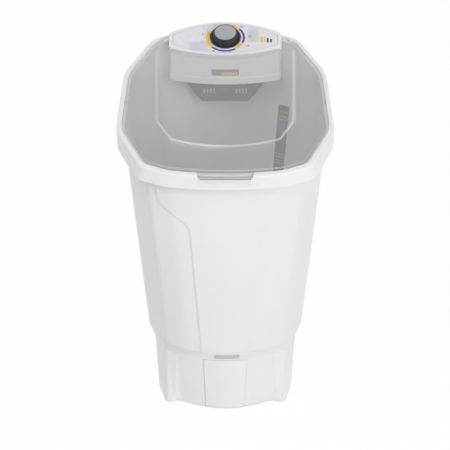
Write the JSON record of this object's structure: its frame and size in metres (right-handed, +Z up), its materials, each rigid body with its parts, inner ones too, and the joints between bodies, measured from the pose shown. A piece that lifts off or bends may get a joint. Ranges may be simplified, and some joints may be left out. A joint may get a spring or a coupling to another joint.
{
  "type": "semi-automatic washing machine",
  "caption": "Tall top-loading washing machine: tapered plastic tub on a skirted base, see-through sloping lid, timer console at the back and a belt-driven agitator.",
  "frame": {"origin": "on the floor, under the centre of the overall box", "axes": "+Z up; -Y is the front, where the user stands; +X is the user's right"},
  "size_m": [0.5516, 0.583, 0.9382],
  "materials": {
    "white_shell": "glossy moulded polypropylene",
    "lid_smoke": "clear smoke-grey, polished",
    "panel_print": "printed film",
    "label_grey": "printed strip",
    "knob_dark": "fine satin",
    "knob_grey": "satin",
    "filter_grey": "satin",
    "net_white": "fine mesh",
    "strip_smoke": "translucent",
    "agitator_white": "glossy",
    "strainer_grey": "satin",
    "cover_grey": "satin",
    "spigot_grey": "satin",
    "rubber_black": "matte",
    "bumper_grey": "matte",
    "steel": "zinc plated",
    "bush_bronze": "sintered",
    "cast_alloy": "die cast",
    "stator_paint": "dipped enamel",
    "fan_black": "satin",
    "capacitor_white": "satin",
    "timer_cream": "satin",
    "cable_grey": "satin"
  },
  "bodies": {
    "cabinet": {"back_duct_cover": "white_shell", "base_screws": "steel", "base_skirt": "white_shell", "bearing_housing": "cast_alloy", "bottom_cover": "cover_grey", "capacitor": "capacitor_white", "capacitor_clip": "steel", "capacitor_screws": "steel", "console_housing": "white_shell", "console_label": "label_grey", "console_screws": "steel", "control_panel": "white_shell", "cord_gland": "rubber_black", "drain_hose": "spigot_grey", "drain_outlet": "spigot_grey", "drain_strainer": "strainer_grey", "drive_belt": "rubber_black", "duct_screws": "steel", "feet": "rubber_black", "filter_guides": "filter_grey", "front_badge": "label_grey", "hose_clips": "steel", "housing_screws": "steel", "level_strip": "strip_smoke", "lid_bumpers": "bumper_grey", "lid_hinge_pins": "steel", "lower_bush": "bush_bronze", "lower_end_shield": "cast_alloy", "motor_bolts": "steel", "motor_bracket": "steel", "motor_mounts": "rubber_black", "motor_stator": "stator_paint", "motor_through_bolts": "steel", "panel_overlay": "panel_print", "shaft_seal": "rubber_black", "timer_body": "timer_cream", "timer_nut": "steel", "tub": "white_shell", "upper_bush": "bush_bronze", "upper_end_shield": "cast_alloy", "wiring_harness": "cable_grey"},
    "lid": {"lid": "lid_smoke"},
    "knob": {"knob": "knob_dark", "knob_cap": "knob_grey", "timer_shaft": "steel"},
    "agitator": {"agitator": "agitator_white", "agitator_cap": "agitator_white", "agitator_screw": "steel", "drive_shaft": "steel", "driven_pulley": "cast_alloy", "pulley_nut": "steel"},
    "motor_rotor": {"motor_rotor": "steel", "motor_pulley": "cast_alloy", "motor_fan": "fan_black"},
    "lint_filter": {"lint_filter_frame": "filter_grey", "filter_net": "net_white"}
  },
  "joints": [
    {"name": "lid_hinge", "type": "hinge", "parent": "cabinet", "child": "lid", "pos_m": [0, 0.23194, 0.90311], "axis": [-1, 0, 0], "range_deg": [0, 108]},
    {"name": "knob_turn", "type": "hinge", "parent": "cabinet", "child": "knob", "pos_m": [0, 0.23062, 0.90805], "axis": [0, 0.3746, -0.9272], "range_deg": [0, 330]},
    {"name": "agitator_spin", "type": "hinge", "parent": "cabinet", "child": "agitator", "pos_m": [0, 0.016, 0.2], "axis": [0, 0, 1], "continuous": true},
    {"name": "motor_spin", "type": "hinge", "parent": "cabinet", "child": "motor_rotor", "pos_m": [0, 0.168, 0.12], "axis": [0, 0, 1], "continuous": true},
    {"name": "filter_slide", "type": "slide", "parent": "cabinet", "child": "lint_filter", "axis": [0, -1, 0], "range_m": [0, 0.045]}
  ],
  "couplings": [
    {"joint": "motor_spin", "follows": "agitator_spin", "ratio": 5.5195}
  ]
}
